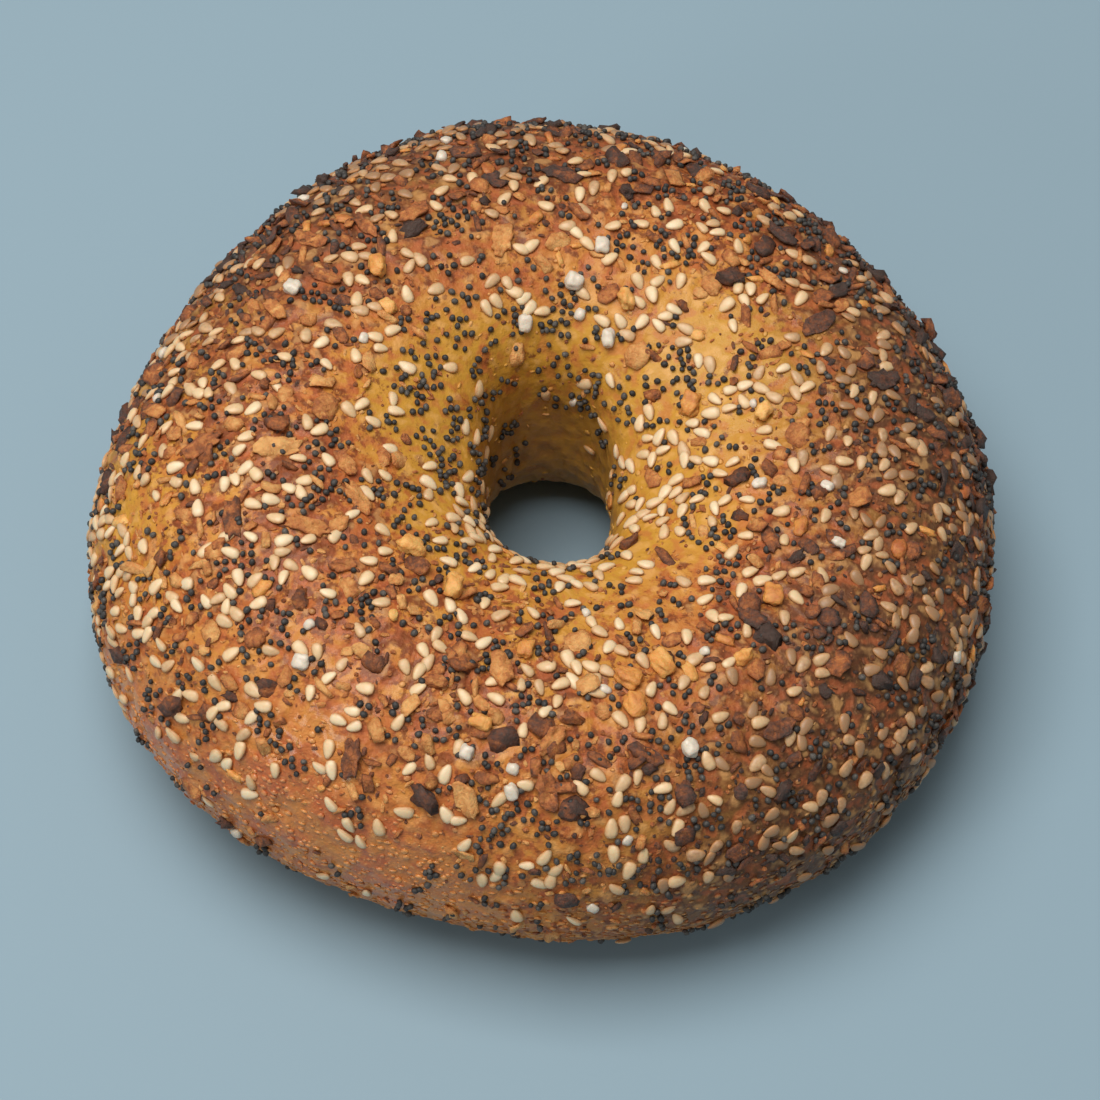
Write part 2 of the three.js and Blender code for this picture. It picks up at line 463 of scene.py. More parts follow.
def onion_material():
    """Toasted onion: thin layered chips from amber through red-brown to charred."""
    material, graph = new_material("toasted_onion")
    place = object_place(graph)
    layers = graph.noise(place, 2 * MM, stretch=0.8)
    fibres = graph.noise(place, 0.6 * MM, detail=5, roughness=0.7, stretch=0.5)
    shade = attribute(graph, "tone") + (fibres - 0.5) * 0.9 + (layers - 0.5) * 0.9
    # Darker on the far and right sides: painted shade, where the light falls off.
    shade = shade + attribute(graph, "rim") * 0.18 - 0.03 + baked_and_shaded(place) * 0.42
    amber, tan, red_brown = (230, 172, 104), (208, 138, 74), (174, 101, 52)
    dark, burnt, char = (120, 70, 42), (96, 61, 47), (74, 54, 45)
    pale_half = ((0.0, *amber), (0.28, *tan), (0.52, *red_brown))
    dark_half = ((0.74, *dark), (0.89, *burnt), (1.0, *char))
    return finish(
        material,
        Base_Color=toned(shade, *pale_half, *dark_half),
        Roughness=0.42 + fibres * 0.35,
        Normal=bump(fibres, 0.4 * MM),
        Subsurface_Weight=0.15,
        Subsurface_Scale=0.5 * MM,
    )


def garlic_material():
    """Dried garlic: amber chunks, a little translucent, browned in patches."""
    material, graph = new_material("dried_garlic")
    place = object_place(graph)
    grain = graph.noise(place, 1.3 * MM, detail=5, roughness=0.65)
    # Darker on the far and right sides: painted shade, where the light falls off.
    shade = attribute(graph, "tone") * 0.6 + (grain - 0.5) * 1.3 + baked_and_shaded(place) * 0.4 + 0.1
    amber, orange, brown = (236, 188, 112), (220, 150, 74), (176, 98, 48)
    return finish(
        material,
        Base_Color=toned(shade, (0.0, *amber), (0.5, *orange), (1.0, *brown)),
        Roughness=0.36 + grain * 0.3,
        Normal=bump(grain, 0.4 * MM),
        Subsurface_Weight=0.2,
        Subsurface_Scale=0.8 * MM,
    )


def salt_material():
    """Coarse salt: off-white, slightly frosted crystals."""
    material, graph = new_material("coarse_salt")
    frost = graph.noise(object_place(graph), 0.5 * MM, detail=3)
    return finish(
        material,
        Base_Color=graph.colour_mix(frost, colour(232, 220, 202), colour(196, 180, 160)),
        Roughness=0.25 + frost * 0.3,
        Normal=bump(frost, 0.1 * MM, 0.6),
        Subsurface_Weight=0.15,
        Subsurface_Scale=0.8 * MM,
    )


# ---- Geometry trees ----


def new_tree(name, inputs):
    """A geometry node tree with named inputs. Returns its graph, its input fields and their keys."""
    tree = bpy.data.node_groups.new(name, "GeometryNodeTree")
    for way in ("INPUT", "OUTPUT"):
        tree.interface.new_socket(name="Geometry", in_out=way, socket_type="NodeSocketGeometry")
    keys = {}
    for kind, labels in inputs.items():
        for label in labels:
            socket_type = "NodeSocket" + kind
            socket = tree.interface.new_socket(name=label, in_out="INPUT", socket_type=socket_type)
            keys[label] = socket.identifier
    graph = Graph(tree)
    group_input = tree.nodes.new("NodeGroupInput")
    fields = {socket.name: Field(graph, socket) for socket in group_input.outputs if socket.name}
    return graph, fields, keys


def end_tree(graph, geometry, material):
    """Closes a tree: plain mesh, material, output."""
    whole = graph.node("GeometryNodeRealizeInstances", {}, {"Geometry": geometry})
    dressed = graph.node("GeometryNodeSetMaterial", {}, {"Geometry": whole, "Material": material})
    output = graph.tree.nodes.new("NodeGroupOutput")
    graph.tree.links.new(dressed.socket, output.inputs[0])


def grow(name, mesh, tree, keys, values, material):
    """Runs a tree on a mesh with its inputs set, and keeps the result as a plain mesh."""
    piece = bpy.data.objects.new(name, mesh)
    bpy.context.scene.collection.objects.link(piece)
    modifier = piece.modifiers.new("Grow", "NODES")
    modifier.node_group = tree
    for label, value in {**values, "Material": material}.items():
        modifier[keys[label]] = value
    evaluated = piece.evaluated_get(bpy.context.evaluated_depsgraph_get())
    grown = bpy.data.meshes.new_from_object(evaluated)
    piece.modifiers.remove(modifier)
    piece.data = grown
    grown.name = name
    if not grown.polygons:
        raise RuntimeError(f"{name} came out empty")
    return piece


def stored(geometry, name, value, domain="POINT", kind="FLOAT"):
    """Keeps a value on each point or instance under a name."""
    settings = {"data_type": kind, "domain": domain}
    inputs = {"Geometry": geometry, "Name": name, "Value": value}
    return geometry.graph.node("GeometryNodeStoreNamedAttribute", settings, inputs)


def moved(geometry, **move):
    """Moves each point: by an Offset or to a Position."""
    return geometry.graph.node("GeometryNodeSetPosition", {}, {"Geometry": geometry, **move})


CRUST_INPUTS = {
    "Int": ("Level",),
    "Float": ("Lump Height", "Pleat Height", "Swell"),
    "Material": ("Material",),
}


def crust_tree():
    """Rounds the ring, lifts its lumps and pleats, and works out where toppings hold."""
    graph, fields, keys = new_tree("bagel_crust", CRUST_INPUTS)
    inputs = {"Mesh": fields["Geometry"], "Level": fields["Level"]}
    rounded = graph.node("GeometryNodeSubdivisionSurface", {}, inputs)

    place = graph.node("GeometryNodeInputPosition")
    x, y, z = split(place)
    radius = ring_radius(x, y)
    off_base = z.step(0.3 * MM, 5 * MM)
    lumps = graph.noise(place, 17 * MM, detail=1) - 0.5
    dents = graph.noise(place, 5 * MM) - 0.5
    pocks = graph.noise(place, POCK_SIZE, detail=1) - 0.5

    # Pleats run down into the hole: noise mostly on the direction around the ring.
    spoke = graph.vector(x / radius, y / radius, radius * 12)
    inputs = {"Vector": spoke, "Scale": 2.2, "Detail": 1.5}
    pleats = graph.node("ShaderNodeTexNoise", {}, inputs) - 0.5
    in_funnel = radius.step(40 * MM, 22 * MM) * z.step(12 * MM, 26 * MM)

    height = lumps * 0.9 + (dents * 1.2 + pocks * 1.2) * (1 - in_funnel * 0.55)
    height = height * fields["Lump Height"] * 2
    height = height + pleats * in_funnel * fields["Pleat Height"] * 2 + fields["Swell"]
    normal = graph.node("GeometryNodeInputNormal")
    inputs = {0: normal, "Scale": height * off_base}
    outwards = graph.node("ShaderNodeVectorMath", {"operation": "SCALE"}, inputs)
    raised = moved(rounded, Offset=outwards)
    smooth = graph.node("GeometryNodeSetShadeSmooth", {}, {"Geometry": raised})

    # How well toppings hold: few lie on the near wall, and none on the underside.
    facing_x, facing_y, facing_up = split(normal)
    sides = facing_up.step(-0.55, 0.05) * z.step(1.2 * MM, 3 * MM)
    near_wall = (y * -1).step(20 * MM, 42 * MM) * facing_up.step(0.45, 0.05)
    flushed = nearness(place, FLUSHED_SPOTS, 16 * MM)
    cover = sides * (1 - near_wall * 0.72) * (1 - (flushed * 1.3).least(0.92))
    inward = ((x * facing_x + y * facing_y) / radius).step(0.1, -0.75)
    down_hole = inward * z.step(38 * MM, 22 * MM)
    marks = {
        "cover": cover * (1 - down_hole * 0.92),
        "inward": inward,
        "toasted": nearness(place, TOASTED_SPOTS, 20 * MM),
        "bare": flushed.most(near_wall * 0.8).most(0.08) * z.step(1.5 * MM, 3 * MM),
        "heaped": nearness(place, HEAPED_SPOTS, 10 * MM),
    }
    marked = smooth
    for name, value in marks.items():
        marked = stored(marked, name, value)
    end_tree(graph, marked, fields["Material"])
    return graph.tree, keys


def random_number(low, high, seed, kind="FLOAT"):
    """A random number for each point."""
    inputs = {"Min": low, "Max": high, "Seed": seed}
    return seed.graph.node("FunctionNodeRandomValue", {"data_type": kind}, inputs, "Value")


SCATTER_INPUTS = {
    "Collection": ("Shapes", "Already Laid"),
    "Float": (
        "Density", "Spacing", "Clearance",
        "Clumping", "Clump Size", "Clump Start",
        "Share", "Share In Funnel", "Pull To Toasted", "Heap", "On Bare Skin",
        "Cluster Reach", "Smallest", "Largest", "Tilt", "Lift", "Palest", "Darkest",
    ),
    "Int": ("Cluster Most", "Seed"),
    "Material": ("Material",),
}


def topping_share(graph, fields):
    """Where one kind of topping lies: the crust's cover, in clumps of its own."""
    seed = fields["Seed"]
    inputs = {0: graph.node("GeometryNodeInputPosition"), 1: graph.vector(seed * 0.37, seed * 0.11)}
    place = graph.node("ShaderNodeVectorMath", {"operation": "ADD"}, inputs)
    clumps = graph.noise(place, fields["Clump Size"]) - fields["Clump Start"]
    clumps = (clumps * 6).least(1.0).most(0.0)
    clumping = fields["Clumping"]
    share = graph.kept("cover") * (1 - clumping + clumps * clumping)
    share = share * (1 - graph.kept("inward") * (1 - fields["Share In Funnel"]))
    pull = fields["Pull To Toasted"]
    share = share * (1 - pull + graph.kept("toasted") * pull) * fields["Share"]
    share = share.most(graph.kept("heaped") * fields["Heap"])
    return share.most(graph.kept("bare") * fields["On Bare Skin"])


def spread(graph, fields, share):
    """Points laid over the crust by chance, thinned to a share and kept a spacing apart."""
    inputs = {
        "Mesh": fields["Geometry"],
        "Distance Min": fields["Spacing"],
        "Density Max": fields["Density"],
        "Density Factor": share,
        "Seed": fields["Seed"],
    }
    settings = {"distribute_method": "POISSON"}
    return graph.node("GeometryNodeDistributePointsOnFaces", settings, inputs, "Points")


def slid(points, stand, **move):
    """Moves points along the skin by x and y, and out from it by z."""
    inputs = {"Vector": points.graph.vector(**move), "Rotation": stand}
    return moved(points, Offset=points.graph.node("FunctionNodeRotateVector", {}, inputs))


def nearest(surface, output):
    """The nearest point of a surface, as its Position or its Distance."""
    settings = {"target_element": "FACES"}
    return surface.graph.node("GeometryNodeProximity", settings, {0: surface}, output)


def topping_points(graph, fields):
    """Points on the crust, each grown into a small cluster, clear of what already lies there."""
    seed = fields["Seed"]
    points = spread(graph, fields, topping_share(graph, fields))
    points = stored(points, "stand", points.beside("Rotation"), kind="QUATERNION")
    stand = graph.kept("stand", "QUATERNION")

    amount = random_number(1, fields["Cluster Most"], seed + 7, "INT")
    inputs = {"Geometry": points, "Amount": amount}
    settings = {"domain": "POINT"}
    points = graph.node("GeometryNodeDuplicateElements", settings, inputs, "Geometry")
    reach = fields["Cluster Reach"]
    aside, ahead = (random_number(reach * -1, reach, seed + extra) for extra in (8, 9))
    points = slid(points, stand, x=aside, y=ahead)
    points = moved(points, Position=nearest(fields["Geometry"], "Position"))
    inputs = {"Geometry": points, "Distance": fields["Spacing"] * 0.9}
    points = graph.node("GeometryNodeMergeByDistance", {}, inputs)

    laid = graph.node("GeometryNodeCollectionInfo", {}, {"Collection": fields["Already Laid"]})
    laid = graph.node("GeometryNodeRealizeInstances", {}, {"Geometry": laid})
    gap = nearest(laid, "Distance")
    inputs = {"Geometry": points, "Selection": gap.maths("LESS_THAN", gap, fields["Clearance"])}
    points = graph.node("GeometryNodeDeleteGeometry", {"domain": "POINT"}, inputs)
    return slid(points, stand, z=fields["Lift"]), stand


def scatter_tree():
    """Lays copies of a few shapes over the crust, each turned, sized and toned by chance."""
    graph, fields, keys = new_tree("bagel_topping_scatter", SCATTER_INPUTS)
    seed = fields["Seed"]
    points, stand = topping_points(graph, fields)
    tilt = fields["Tilt"]
    lean = [random_number(tilt * -1, tilt, seed + extra) for extra in (1, 2)]
    spin = graph.vector(*lean, random_number(0, math.tau, seed + 3))
    inputs = {0: stand, 1: graph.node("FunctionNodeEulerToRotation", {}, {0: spin})}
    turned = graph.node("FunctionNodeRotateRotation", {"rotation_space": "LOCAL"}, inputs)
    end_scatter(graph, fields, points, turned)
    return graph.tree, keys


def blister_tree():
    """Lays low domes over the bare skin, drawn out sideways where the wall is steep."""
    graph, fields, keys = new_tree("bagel_blisters", SCATTER_INPUTS)
    points = spread(graph, fields, graph.kept("bare"))
    inputs = {0: (0, 0, 1), 1: points.beside("Normal")}
    level = graph.node("ShaderNodeVectorMath", {"operation": "CROSS_PRODUCT"}, inputs)
    inputs = {"Rotation": points.beside("Rotation"), "Vector": level}
    settings = {"axis": "X", "pivot_axis": "Z"}
    turned = graph.node("FunctionNodeAlignRotationToVector", settings, inputs)
    end_scatter(graph, fields, points, turned)
    return graph.tree, keys


def end_scatter(graph, fields, points, turned):
    """Puts a shape at each point, gives each its own tone, and closes the tree."""
    seed = fields["Seed"]
    inputs = {"Collection": fields["Shapes"], "Separate Children": True, "Reset Children": True}
    inputs = {
        "Points": points,
        "Instance": graph.node("GeometryNodeCollectionInfo", {}, inputs),
        "Pick Instance": True,
        "Rotation": turned,
        "Scale": random_number(fields["Smallest"], fields["Largest"], seed + 4),
    }
    copies = graph.node("GeometryNodeInstanceOnPoints", {}, inputs)
    tone = random_number(fields["Palest"], fields["Darkest"], seed + 5)
    end_tree(graph, stored(copies, "tone", tone, "INSTANCE"), fields["Material"])


# ---- Meshes ----


@contextmanager
def edited(mesh):
    """Opens a mesh for editing, and puts the result back in it."""
    edit = bmesh.new()
    edit.from_mesh(mesh)
    yield edit
    edit.to_mesh(mesh)
    edit.free()


def merged_copy(node):
    """A frame node's mesh with its loose triangles joined up."""
    mesh = frame["nodes"][node].data.copy()
    mesh.materials.clear()
    with edited(mesh) as edit:
        bmesh.ops.remove_doubles(edit, verts=edit.verts, dist=0.001 * MM)
    return mesh


def quads_from_triangles(mesh):
    """Pairs a ring's triangles back into the quads of its grid."""
    wide = math.radians(60)
    limits = {"angle_face_threshold": wide, "angle_shape_threshold": wide}
    with edited(mesh) as edit:
        bmesh.ops.join_triangles(edit, faces=edit.faces, **limits)


# A circle inside the dough that the toppings face away from, as shares of the ring's size.
CORE_RADIUS = 0.3
CORE_HEIGHT = 0.42


def lying_frame(node):
    """How a frame node lies: its middle, its long, wide and outward directions, and its sizes."""
    mesh = merged_copy(node)
    points = numpy.array([vertex.co for vertex in mesh.vertices])
    bpy.data.meshes.remove(mesh)
    middle = points.mean(axis=0)
    directions = numpy.linalg.eigh(numpy.cov((points - middle).T))[1]
    long, out = (Vector(directions[:, rank]) for rank in (2, 0))
    middle = Vector(middle)
    core = Vector((middle.x, middle.y, 0)).normalized() * RING_SIZE.x * CORE_RADIUS
    core.z = RING_SIZE.z * CORE_HEIGHT
    if out.dot(middle - core) < 0:
        out = -out
    wide = out.cross(long)
    matrix = Matrix((long, wide, out)).transposed().to_4x4()
    matrix.translation = middle
    offsets = points - numpy.array(middle)
    sizes = [float(numpy.ptp(offsets @ numpy.array(way))) for way in (long, wide, out)]
    return matrix, sizes


def mesh_from(name, vertices, faces, numbers=None):
    """A closed mesh with its faces turned outwards, and numbers kept on its points by name."""
    mesh = bpy.data.meshes.new(name)
    mesh.from_pydata(vertices, [], faces)
    with edited(mesh) as edit:
        bmesh.ops.recalc_face_normals(edit, faces=edit.faces)
    for label, values in (numbers or {}).items():
        keep_numbers(mesh, label, values)
    mesh.shade_smooth()
    return mesh


def keep_numbers(mesh, label, values):
    """Keeps a number on each point of a mesh under a name."""
    mesh.attributes.new(label, "FLOAT", "POINT").data.foreach_set("value", values)


def bead(outline, width, thickness, sides):
    """The points and faces of a closed bead along X. Outline: pairs of place and half width."""
    vertices = [(outline[0][0], 0, 0)]
    for along, reach in outline[1:-1]:
        for side in range(sides):
            angle = math.tau * side / sides
            across = reach * width * math.cos(angle)
            vertices.append((along, across, reach * thickness * math.sin(angle)))
    vertices.append((outline[-1][0], 0, 0))
    last = len(vertices) - 1
    faces = []
    for side in range(sides):
        after = (side + 1) % sides
        faces.append((0, 1 + after, 1 + side))
        faces.append((last, last - sides + side, last - sides + after))
        for ring in range(len(outline) - 3):
            start = 1 + ring * sides
            faces.append((start + side, start + after, start + sides + after, start + sides + side))
    return vertices, faces


def sesame_shape(name, plumpness, bend):
    """A sesame seed one unit long: a flattened teardrop, pointed at +X."""
    steps = 6
    outline = []
    for step in range(steps + 1):
        share = step / steps
        along = -0.5 * math.cos(math.pi * share)
        reach = math.sin(math.pi * share) ** 0.86 * (1.22 - 0.74 * share)
        outline.append((along, reach / 2))
    thickness = 0.33
    vertices, faces = bead(outline, plumpness, thickness, 10)
    rims = []
    for x, y, z in vertices:
        slope = math.hypot(y / plumpness, z / thickness)
        sideways = abs(y) / plumpness / slope if slope > 0 else 1.0
        rims.append(max(sideways, abs(2 * x) ** 3))
    bent = [(x, y + bend * (x * x - 0.1), z - 0.12 * x * x) for x, y, z in vertices]
    return mesh_from(name, bent, faces, {"rim": rims})


def round_outline(steps):
    """The outline of a ball one unit long, for a bead."""
    angles = [math.pi * step / steps for step in range(steps + 1)]
    return [(-0.5 * math.cos(angle), math.sin(angle) / 2) for angle in angles]


def poppy_shape(name, dent):
    """A poppy seed one unit long: a rounded kidney."""
    vertices, faces = bead(round_outline(5), width=0.88, thickness=0.8, sides=7)
    return mesh_from(name, [(x, y + dent * x * x, z) for x, y, z in vertices], faces)


def blister_shape(name, width):
    """A low dome one unit long. Its number dome is 1 at the top and 0 at the skin."""
    thickness = 0.42
    vertices, faces = bead(round_outline(4), width, thickness, sides=6)
    top = 0.44 * thickness
    domes = [max(0.0, z) / top for x, y, z in vertices]
    return mesh_from(name, vertices, faces, {"dome": domes})


def chip_mesh(name, size, curl, seed, corners=10, rings=(0.6,), crumple=0.1, place=None):
    """A thin torn chip of a length, width and thickness: ragged edge, ridged along its length."""
    chance = random.Random(seed)
    length, width, thickness = size
    place = place or Matrix()
    torn = [chance.uniform(0.7, 1.06) for _ in range(corners)]
    turns = [math.tau * (corner + chance.uniform(-0.3, 0.3)) / corners for corner in range(corners)]

    def lifted(reach, corner, side):
        turn = turns[corner]
        along = reach * torn[corner] * math.copysign(abs(math.cos(turn)) ** 0.8, math.cos(turn)) / 2
        across = reach * torn[corner] * math.copysign(abs(math.sin(turn)) ** 0.8, math.sin(turn)) / 2
        ridge = noise.noise(Vector((along * 2.5, across * 8 * width / length + seed, 0.3)))
        fold = noise.noise(Vector((along * 3.1, across * 2.4, seed * 1.7)))
        rise = curl * along * along + crumple * fold
        high = rise * length + thickness * (side * (0.62 - 0.3 * reach) + 0.5 * ridge * max(side, 0))
        return place @ Vector((along * length, across * width, high))

    levels = [(reach, 1) for reach in rings] + [(1.0, 0.5), (1.0, -0.5)]
    levels += [(reach, -1) for reach in reversed(rings)]
    vertices = [lifted(0, 0, 1)]
    rims = [0.0]
    for reach, side in levels:
        vertices += [lifted(reach, corner, side) for corner in range(corners)]
        rims += [reach ** 2] * corners
    vertices.append(lifted(0, 0, -1))
    rims.append(0.0)
    last = len(vertices) - 1
    faces = []
    for corner in range(corners):
        after = (corner + 1) % corners
        faces.append((0, 1 + corner, 1 + after))
        faces.append((last, last - corners + after, last - corners + corner))
        for level in range(len(levels) - 1):
            start = 1 + level * corners
            below = start + corners
            faces.append((start + corner, below + corner, below + after, start + after))
    return mesh_from(name, vertices, faces, {"rim": rims})


def chunk_mesh(name, size, seed, splits=1, squareness=2.0, knock=0.18, lump=0.42, place=None):
    """A rough chunk of a length, width and thickness, from a ball (2) to a block (8)."""
    chance = random.Random(seed)
    length, width, thickness = size
    place = place or Matrix()
    mesh = bpy.data.meshes.new(name)
    with edited(mesh) as edit:
        bmesh.ops.create_icosphere(edit, subdivisions=splits, radius=1)
        for vertex in edit.verts:
            parts = [abs(part) ** squareness for part in vertex.co]
            reach = 0.5 / sum(parts) ** (1 / squareness)
            swelling = lump * noise.noise(vertex.co * 1.5 + Vector((seed, 0, 0)))
            x, y, z = vertex.co * reach * (chance.uniform(1 - knock, 1 + knock) + swelling)
            vertex.co = place @ Vector((x * length, y * width, z * thickness))
    if splits > 1:
        mesh.shade_smooth()
    return mesh


# ---- Laying pieces ----

LAID = {}
USUAL = {
    "Clumping": 0.0, "Clump Size": MM, "Clump Start": 0.4,
    "Share": 1.0, "Pull To Toasted": 0.0, "Heap": 0.0, "On Bare Skin": 0.0,
    "Cluster Most": 1, "Cluster Reach": 0.0, "Palest": 0.0, "Darkest": 1.0,
}


def hold(piece, nodes=()):
    """Tells the frame what a finished piece rides on and what it stands for."""
    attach(piece, BODY)
    if nodes:
        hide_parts(*nodes)
    LAID[piece.name] = piece


def lay_over_crust(name, shapes, values, material, tree_maker=scatter_tree):
    """Scatters copies of some shapes over the crust, clear of every topping laid before."""
    tree, keys = tree_maker()
    shape_box = bpy.data.collections.new(name + "_shapes")
    for mesh in shapes:
        shape_box.objects.link(bpy.data.objects.new(mesh.name, mesh))
    laid_box = bpy.data.collections.new(name + "_laid")
    for piece in LAID.values():
        if not piece.name.startswith("crust"):
            laid_box.objects.link(piece)
    values = {"Shapes": shape_box, "Already Laid": laid_box, **USUAL, **values}
    hold(grow(name, LAID["crust"].data.copy(), tree, keys, values, material))
    for shape in list(shape_box.objects):
        bpy.data.objects.remove(shape)
    bpy.data.collections.remove(shape_box)
    bpy.data.collections.remove(laid_box)


def settle_nodes(name, slot, start, maker, material, drop, seed, darkest=1.0):
    """Makes finished toppings where the frame's plain ones of one kind lie, lowered by a drop."""
    tones = []
    chance = random.Random(seed)
    nodes = nodes_named(start)
    joined = bpy.data.meshes.new(name)
    with edited(joined) as edit:
        for number, node in enumerate(nodes):
            place, size = lying_frame(node)
            place.translation -= place.col[2].xyz * drop
            mesh = maker(node, size, seed + number, place=place)
            edit.from_mesh(mesh)
            tones += [chance.uniform(0, darkest)] * len(mesh.vertices)
            bpy.data.meshes.remove(mesh)
    keep_numbers(joined, "tone", tones)
    joined.materials.append(material)
    piece = bpy.data.objects.new(name, joined)
    bpy.context.scene.collection.objects.link(piece)
    hold(piece, nodes)


# ---- Settings ----


def colour_setting(name, description, default):
    return bpy.props.FloatVectorProperty(
        name=name, description=description, default=default, subtype="COLOR", size=4, min=0, max=1
    )


def length_setting(name, description, default):
    return bpy.props.FloatProperty(
        name=name, description=description, default=default, subtype="DISTANCE", unit="LENGTH", min=0
    )


def amount_setting(name, description, default):
    return bpy.props.FloatProperty(name=name, description=description, default=default, min=0)


class CrustSettings(bpy.types.PropertyGroup):
    """Sizes and colours of the crust."""

    level: bpy.props.IntProperty(
        name="Smoothing", description="How often the ring's grid is split", default=3, min=1, max=3
    )
    lump_height: length_setting("Lump height", "How far the dough's soft lumps rise", 0.5 * MM)
    pleat_height: length_setting("Pleat height", "How far the pleats in the funnel rise", 0.45 * MM)
    swell: length_setting("Swell", "Skin put back after the grid is rounded", 0.2 * MM)
    golden: colour_setting("Golden", "Lightly baked skin", colour(203, 138, 61))
    toasted: colour_setting("Toasted", "Well baked skin", colour(187, 113, 54))
    caramel: colour_setting("Caramel", "The blotches on the skin", colour(168, 86, 40))
    scorched: colour_setting("Scorched", "The darkest baked skin", colour(112, 52, 28))
    # The colour of the browner far and right sides, with their painted shade.
    baked_and_shaded: colour_setting("Well baked", "The browner sides", colour(80, 54, 36))
    funnel_gold: colour_setting("Funnel gold", "Skin in the funnel", colour(196, 143, 50))
    hole_brown: colour_setting("Hole brown", "Skin deep in the hole", colour(188, 142, 62))
    flushed: colour_setting("Flushed", "The glossy patch on the near left", colour(204, 126, 62))
    # Also painted into the small hollows of the skin as shade.
    rosy: colour_setting("Rosy", "Redder skin in the glossy patch", colour(186, 98, 58))
    low_wall: colour_setting("Low wall", "Skin low on the wall", colour(186, 112, 46))
    # Painted highlight on the blister tops, the pale specks and the crests of the skin, partly the
    # blisters' own paler skin.
    blister: colour_setting("Blister", "The pale tops of the blisters", colour(234, 178, 112))
    blister_length: length_setting("Blister length", "A raised blister's length", 0.95 * MM)
    blister_density: amount_setting("Blister amount", "Blisters for each square metre", 1300000)


class ToppingSettings(bpy.types.PropertyGroup):
    """Sizes and amounts of the toppings. Amounts are pieces for each square metre."""

    sesame_length: length_setting("Sesame length", "A sesame seed's length", 2.52 * MM)
    sesame_density: amount_setting("Sesame amount", "Seeds for each square metre", 520000)
    poppy_length: length_setting("Poppy size", "A poppy seed's length", 1.03 * MM)
    poppy_density: amount_setting("Poppy amount", "Clusters for each square metre", 240000)
    flake_length: length_setting("Flake length", "An onion flake's length", 3.4 * MM)
    flake_density: amount_setting("Flake amount", "Flakes for each square metre", 140000)
    crumb_length: length_setting("Crumb length", "A topping crumb's length", 1.0 * MM)
    crumb_density: amount_setting("Crumb amount", "Crumbs for each square metre", 800000)
    garlic_density: amount_setting("Garlic amount", "Small bits for each square metre", 8000)
    salt_density: amount_setting("Salt amount", "Small crystals for each square metre", 2600)


class StageSettings(bpy.types.PropertyGroup):
    """The floor, the lights and the camera."""

    floor_colour: colour_setting("Floor", "The pale floor", colour(138, 162, 176))
    camera_distance: length_setting("Camera distance", "From the aim point", 400 * MM)
    camera_elevation: bpy.props.FloatProperty(
        name="Camera elevation",
        description="How far the camera looks down",
        default=math.radians(57),
        subtype="ANGLE",
        unit="ROTATION",
    )
    lens: bpy.props.FloatProperty(
        name="Lens", description="The camera's focal length", default=94.8, subtype="DISTANCE_CAMERA"
    )
    key_power: bpy.props.FloatProperty(
        name="Key light", description="Power of the large light", default=7.45, subtype="POWER"
    )
    room_strength: amount_setting("Room light", "Strength of the light all round", 0.37)


# ---- Operators ----


class BAGEL_OT_crust(bpy.types.Operator):
    """Bake the crust: round the ring, raise its lumps and colour its skin"""

    bl_idname = "bagel.crust"
    bl_label = "Bake Crust"

    def execute(self, context):
        settings = context.scene.bagel_crust
        mesh = merged_copy("dough_ring")
        quads_from_triangles(mesh)
        values = {
            "Level": settings.level,
            "Lump Height": settings.lump_height,
            "Pleat Height": settings.pleat_height,
            "Swell": settings.swell,
        }
        piece = grow("crust", mesh, *crust_tree(), values, crust_material(settings))
        hold(piece, ["dough_ring"])
        return {"FINISHED"}


class BAGEL_OT_blisters(bpy.types.Operator):
    """Raise the crust's blisters, thickest where the skin is bare"""

    bl_idname = "bagel.blisters"
    bl_label = "Raise Blisters"

    def execute(self, context):
        settings = context.scene.bagel_crust
        widths = {"blister_round": 0.95, "blister_oval": 0.7, "blister_drawn": 0.42}
        shapes = [blister_shape(name, width) for name, width in widths.items()]
        length = settings.blister_length
        values = {
            "Density": settings.blister_density, "Spacing": length * 0.7,
            "Smallest": length * 0.4, "Largest": length * 1.3,
            "Seed": 5,
        }
        material = bpy.data.materials["baked_crust"]
        lay_over_crust("crust_blisters", shapes, values, material, blister_tree)
        return {"FINISHED"}


FLAKE_THICKEST = 0.7 * MM


def onion_flake(node, size, seed, place):
    """A large toasted onion flake in place of the frame's plain one."""
    length, width, thickness = size
    size = (length, width, min(thickness, FLAKE_THICKEST))
    detail = {"corners": 20, "rings": (0.25, 0.5, 0.75, 0.92), "crumple": 0.11}
    return chip_mesh(node, size, 0.12, seed, **detail, place=place)


